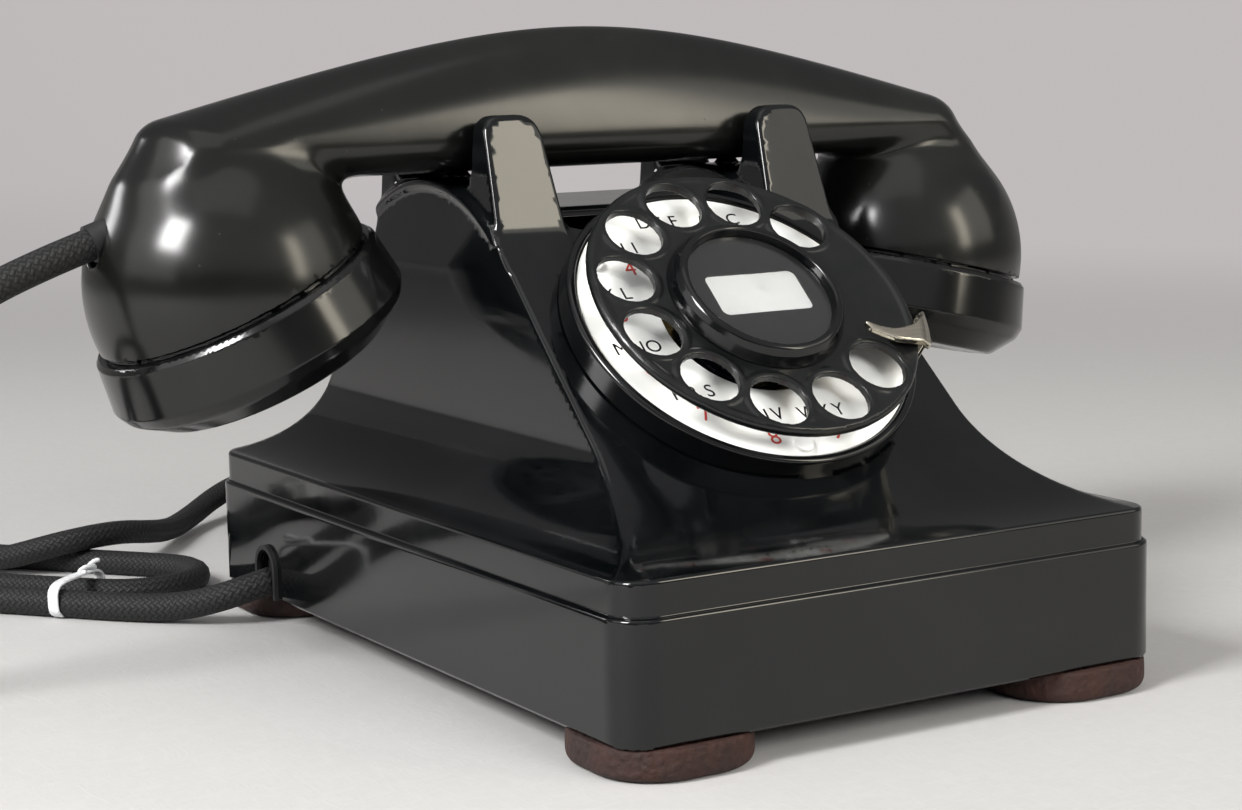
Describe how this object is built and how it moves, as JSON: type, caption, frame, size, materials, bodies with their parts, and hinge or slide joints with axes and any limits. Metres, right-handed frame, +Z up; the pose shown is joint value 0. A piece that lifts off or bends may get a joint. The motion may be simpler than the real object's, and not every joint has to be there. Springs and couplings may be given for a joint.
{
  "type": "rotary desk telephone",
  "caption": "Desk telephone with a stepped square base, a sloping rotary dial, a cradle with upright ears, and a corded handset lying across it.",
  "frame": {"origin": "middle of the telephone's length and depth, handset included and cords left out, on the surface it stands on", "axes": "+X runs to the right as one faces the dial, along the handset; +Y runs from the dial to the back; +Z is up"},
  "size_m": [0.3845, 0.3396, 0.144],
  "materials": {
    "housing": "gloss black enamel",
    "base_plate": "dull black paint",
    "base_screws": "plain steel",
    "foot_front_left": "smooth brown leather",
    "foot_front_right": "smooth brown leather",
    "foot_back_left": "smooth brown leather",
    "foot_back_right": "smooth brown leather",
    "foot_rivets": "plain steel",
    "dial_bezel": "gloss black",
    "dial_cup": "plated steel",
    "number_plate": "white enamel with printed letters and figures",
    "dial_screws": "plain brass",
    "finger_stop": "nickel plate",
    "finger_wheel": "satin black",
    "card_ring": "gloss black",
    "number_card": "plain white card",
    "card_mask": "black printed card",
    "card_cover": "clear",
    "main_shaft": "turned steel",
    "drive_gear": "cut brass",
    "mainspring": "blue spring steel",
    "pulse_shaft": "cut brass",
    "governor_shaft": "cut brass",
    "governor_weights": "brass",
    "governor_drum": "plated steel",
    "pulse_springs": "nickel silver",
    "plunger_left": "black moulding",
    "plunger_right": "black moulding",
    "plunger_bar": "plated steel",
    "hook_spring_stack": "nickel silver",
    "ringer_frame": "plated steel",
    "gong_left": "spun brass",
    "gong_right": "spun brass",
    "gong_posts": "turned steel",
    "ringer_coils": "wrapped winding",
    "ringer_cores": "soft iron",
    "clapper": "plated brass and steel",
    "induction_coil": "wrapped winding",
    "condenser": "grey paint",
    "terminal_strip": "dark moulding",
    "terminal_screws": "plain brass",
    "handset_shell": "polished black moulding",
    "mouth_cap": "polished black moulding",
    "ear_cap": "polished black moulding",
    "transmitter_unit": "plain",
    "receiver_unit": "plain",
    "capsule_springs": "nickel silver",
    "handset_cord": "black braid",
    "handset_cord_coil": "black braid",
    "line_cord": "black braid",
    "line_cord_loops": "black braid",
    "line_cord_hank": "black braid",
    "line_plug": "clear grey moulding",
    "cord_tie": "white nylon",
    "cord_grommets": "black rubber",
    "handset_collar": "black rubber"
  },
  "bodies": {
    "base": {"housing": "housing", "base_plate": "base_plate", "base_screws": "base_screws", "foot_front_left": "foot_front_left", "foot_front_right": "foot_front_right", "foot_back_left": "foot_back_left", "foot_back_right": "foot_back_right", "foot_rivets": "foot_rivets", "dial_bezel": "dial_bezel", "dial_cup": "dial_cup", "number_plate": "number_plate", "dial_screws": "dial_screws", "finger_stop": "finger_stop", "mainspring": "mainspring", "governor_drum": "governor_drum", "pulse_springs": "pulse_springs", "hook_spring_stack": "hook_spring_stack", "ringer_frame": "ringer_frame", "gong_left": "gong_left", "gong_right": "gong_right", "gong_posts": "gong_posts", "ringer_coils": "ringer_coils", "ringer_cores": "ringer_cores", "induction_coil": "induction_coil", "condenser": "condenser", "terminal_strip": "terminal_strip", "terminal_screws": "terminal_screws", "handset_cord": "handset_cord", "handset_cord_coil": "handset_cord_coil", "line_cord": "line_cord", "line_cord_loops": "line_cord_loops", "line_cord_hank": "line_cord_hank", "line_plug": "line_plug", "cord_tie": "cord_tie", "cord_grommets": "cord_grommets"},
    "handset": {"handset_shell": "handset_shell", "mouth_cap": "mouth_cap", "ear_cap": "ear_cap", "transmitter_unit": "transmitter_unit", "receiver_unit": "receiver_unit", "capsule_springs": "capsule_springs", "handset_collar": "handset_collar"},
    "dial": {"finger_wheel": "finger_wheel", "card_ring": "card_ring", "number_card": "number_card", "card_mask": "card_mask", "card_cover": "card_cover", "main_shaft": "main_shaft", "drive_gear": "drive_gear"},
    "pulse_wheel": {"pulse_shaft": "pulse_shaft"},
    "governor": {"governor_shaft": "governor_shaft", "governor_weights": "governor_weights"},
    "hook_plungers": {"plunger_left": "plunger_left", "plunger_right": "plunger_right", "plunger_bar": "plunger_bar"},
    "clapper": {"clapper": "clapper"}
  },
  "joints": [
    {"name": "handset_lift", "type": "slide", "parent": "base", "child": "handset", "axis": [0, 0, 1], "range_m": [0, 0.08], "deforming": ["handset_cord"]},
    {"name": "dial_turn", "type": "hinge", "parent": "base", "child": "dial", "pos_m": [0.0032, -0.047, 0.085], "axis": [0, 0.6652, -0.7466], "range_deg": [0, 330], "stiffness_Nm_per_rad": 0.01, "springref_deg": -57.3},
    {"name": "pulse_turn", "type": "hinge", "parent": "base", "child": "pulse_wheel", "pos_m": [-0.01647, -0.04054, 0.06397], "axis": [0, 0.6652, -0.7466], "range_deg": [-1660, 10]},
    {"name": "governor_turn", "type": "hinge", "parent": "base", "child": "governor", "pos_m": [-0.01042, -0.02607, 0.06347], "axis": [0, 0.6652, -0.7466], "range_deg": [-10, 4970]},
    {"name": "plunger_rise", "type": "slide", "parent": "base", "child": "hook_plungers", "axis": [0, 0, 1], "range_m": [0, 0.005], "stiffness_N_per_m": 80, "springref_m": 0.012},
    {"name": "clapper_swing", "type": "hinge", "parent": "base", "child": "clapper", "pos_m": [0.0032, 0.034, 0.021], "axis": [0, 0, 1], "range_deg": [-3, 3], "stiffness_Nm_per_rad": 0.002}
  ],
  "couplings": [
    {"joint": "pulse_turn", "follows": "dial_turn", "ratio": -5},
    {"joint": "governor_turn", "follows": "dial_turn", "ratio": 15},
    {"joint": "plunger_rise", "follows": "handset_lift", "ratio": 0.0625}
  ]
}
